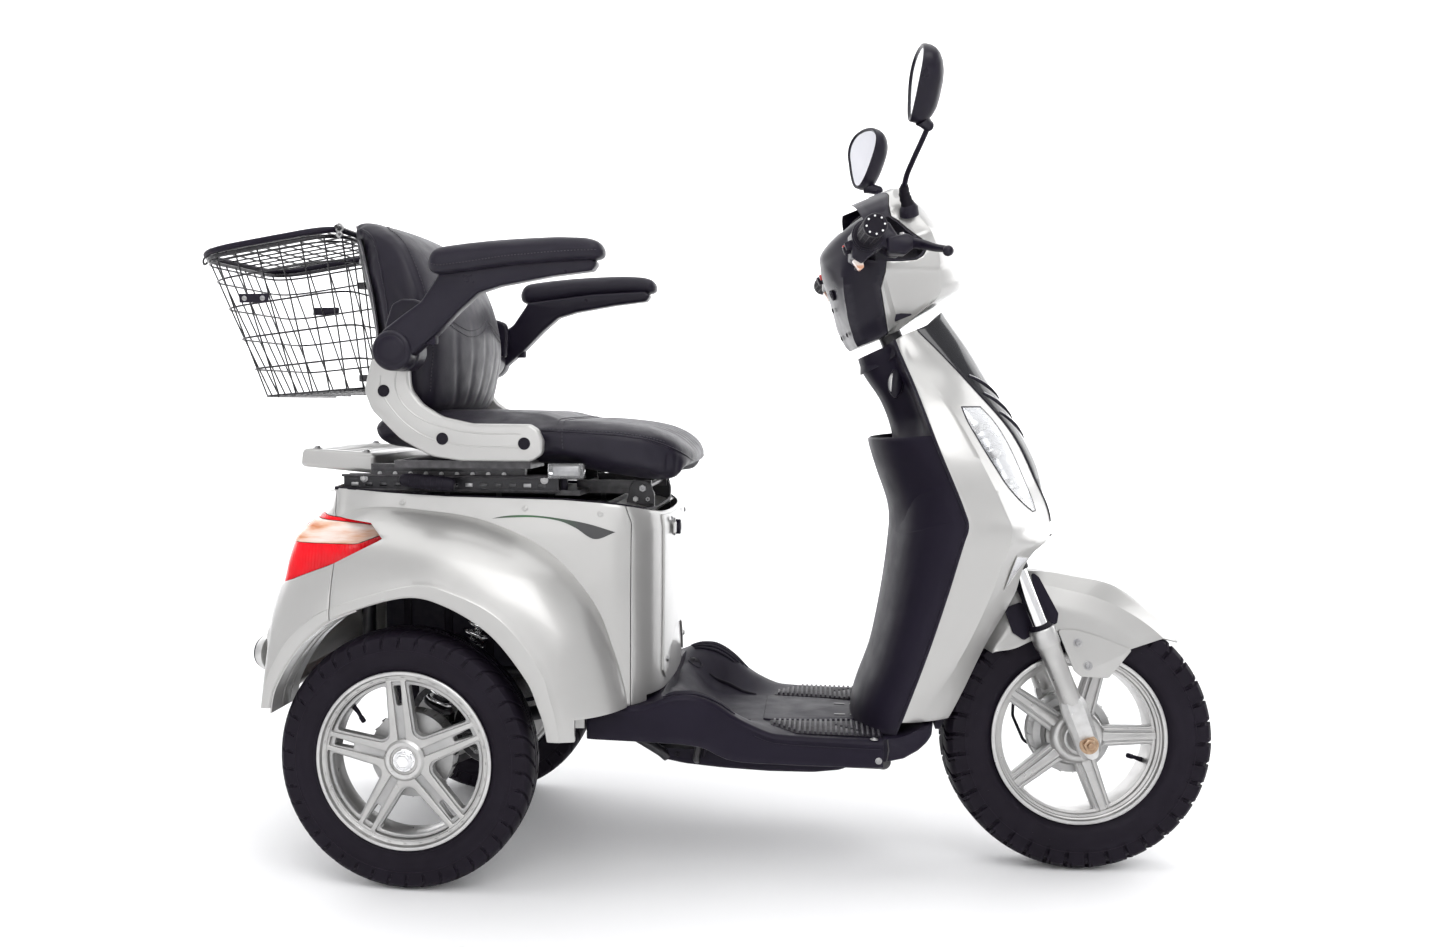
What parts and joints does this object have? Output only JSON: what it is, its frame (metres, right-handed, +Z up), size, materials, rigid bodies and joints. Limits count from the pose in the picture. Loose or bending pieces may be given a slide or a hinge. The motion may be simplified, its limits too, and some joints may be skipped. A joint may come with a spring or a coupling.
{
  "type": "electric three-wheel scooter",
  "caption": "Electric mobility scooter with one steered front wheel, two rear wheels, leg shield, step-through floor, padded seat with flip-up armrests and a lidded rear basket.",
  "frame": {"origin": "on the ground, in the middle of the scooter's length and width", "axes": "+X forward, +Y to the rider's left, +Z up"},
  "size_m": [1.6703, 0.692, 1.2963],
  "materials": {
    "silver_paint": "metallic silver lacquer on moulded panels",
    "black_plastic": "moulded, lightly grained",
    "black_gloss": "gloss lacquer",
    "frame_black": "black powder coat",
    "alloy": "cast, silver lacquer",
    "chrome": "polished",
    "tyre_rubber": "treaded",
    "soft_rubber": "ribbed",
    "leatherette": "black leatherette, stitched",
    "red_lens": "red and clear lamp lens",
    "clear_lens": "clear lamp lens",
    "battery_case": "battery cases as one block",
    "wire_black": "black coated wire"
  },
  "bodies": {
    "chassis": {"frame": "frame_black", "footboard": "black_plastic", "foot_mat": "soft_rubber", "underpan": "black_plastic", "battery_pack": "battery_case", "body_side_right": "silver_paint", "body_side_left": "silver_paint", "pedestal_front": "silver_paint", "tail_panel": "silver_paint", "tail_lamps": "red_lens", "leg_shield_inner": "black_plastic", "leg_shield_outer": "silver_paint", "front_panel": "black_gloss", "headlights": "clear_lens", "drive_axle": "frame_black", "rear_shocks": "chrome"},
    "seat_base": {"seat_base_frame": "frame_black", "luggage_shelf": "silver_paint"},
    "seat": {"seat_pan": "frame_black", "seat_cushion": "leatherette", "seat_back": "leatherette", "seat_brackets": "silver_paint", "basket": "wire_black"},
    "armrest_right": {"armrest_right": "black_plastic", "armrest_pad_right": "leatherette"},
    "armrest_left": {"armrest_left": "black_plastic", "armrest_pad_left": "leatherette"},
    "basket_lid": {"basket_lid": "wire_black"},
    "steering": {"fork_stem": "chrome", "fork_legs": "alloy", "front_fender": "silver_paint", "handlebar": "frame_black", "grips": "soft_rubber", "brake_levers": "black_plastic", "dash_cover": "black_plastic", "head_cowl": "silver_paint", "mirror_right": "black_plastic", "mirror_left": "black_plastic", "brake_cable": "soft_rubber"},
    "front_wheel": {"tyre_front": "tyre_rubber", "wheel_front": "alloy"},
    "rear_wheel_right": {"tyre_rear_right": "tyre_rubber", "wheel_rear_right": "alloy"},
    "rear_wheel_left": {"tyre_rear_left": "tyre_rubber", "wheel_rear_left": "alloy"}
  },
  "joints": [
    {"name": "steering_turn", "type": "hinge", "parent": "chassis", "child": "steering", "pos_m": [0.59137, 0, 0.20291], "axis": [-0.3778, 0, 0.9259], "range_deg": [-47, 33]},
    {"name": "front_wheel_spin", "type": "hinge", "parent": "steering", "child": "front_wheel", "pos_m": [0.62078, 0.0039, 0.21491], "axis": [-0.1128, 0.9925, -0.046], "continuous": true},
    {"name": "rear_wheel_right_spin", "type": "hinge", "parent": "chassis", "child": "rear_wheel_right", "pos_m": [-0.433, -0.272, 0.205], "axis": [0, 1, 0], "continuous": true},
    {"name": "rear_wheel_left_spin", "type": "hinge", "parent": "chassis", "child": "rear_wheel_left", "pos_m": [-0.433, 0.272, 0.205], "axis": [0, 1, 0], "continuous": true},
    {"name": "seat_tilt", "type": "hinge", "parent": "chassis", "child": "seat_base", "pos_m": [-0.081, 0, 0.624], "axis": [0, 1, 0], "range_deg": [0, 45]},
    {"name": "seat_slide", "type": "slide", "parent": "seat_base", "child": "seat", "axis": [-1, 0, 0], "range_m": [-0.05, 0.05]},
    {"name": "armrest_right_flip", "type": "hinge", "parent": "seat", "child": "armrest_right", "pos_m": [-0.44, -0.305, 0.843], "axis": [0, -1, 0], "range_deg": [0, 105]},
    {"name": "armrest_left_flip", "type": "hinge", "parent": "seat", "child": "armrest_left", "pos_m": [-0.44, 0.305, 0.843], "axis": [0, -1, 0], "range_deg": [0, 105]},
    {"name": "basket_lid_open", "type": "hinge", "parent": "seat", "child": "basket_lid", "pos_m": [-0.583, 0, 1.052], "axis": [0, 1, 0], "range_deg": [0, 100]}
  ]
}
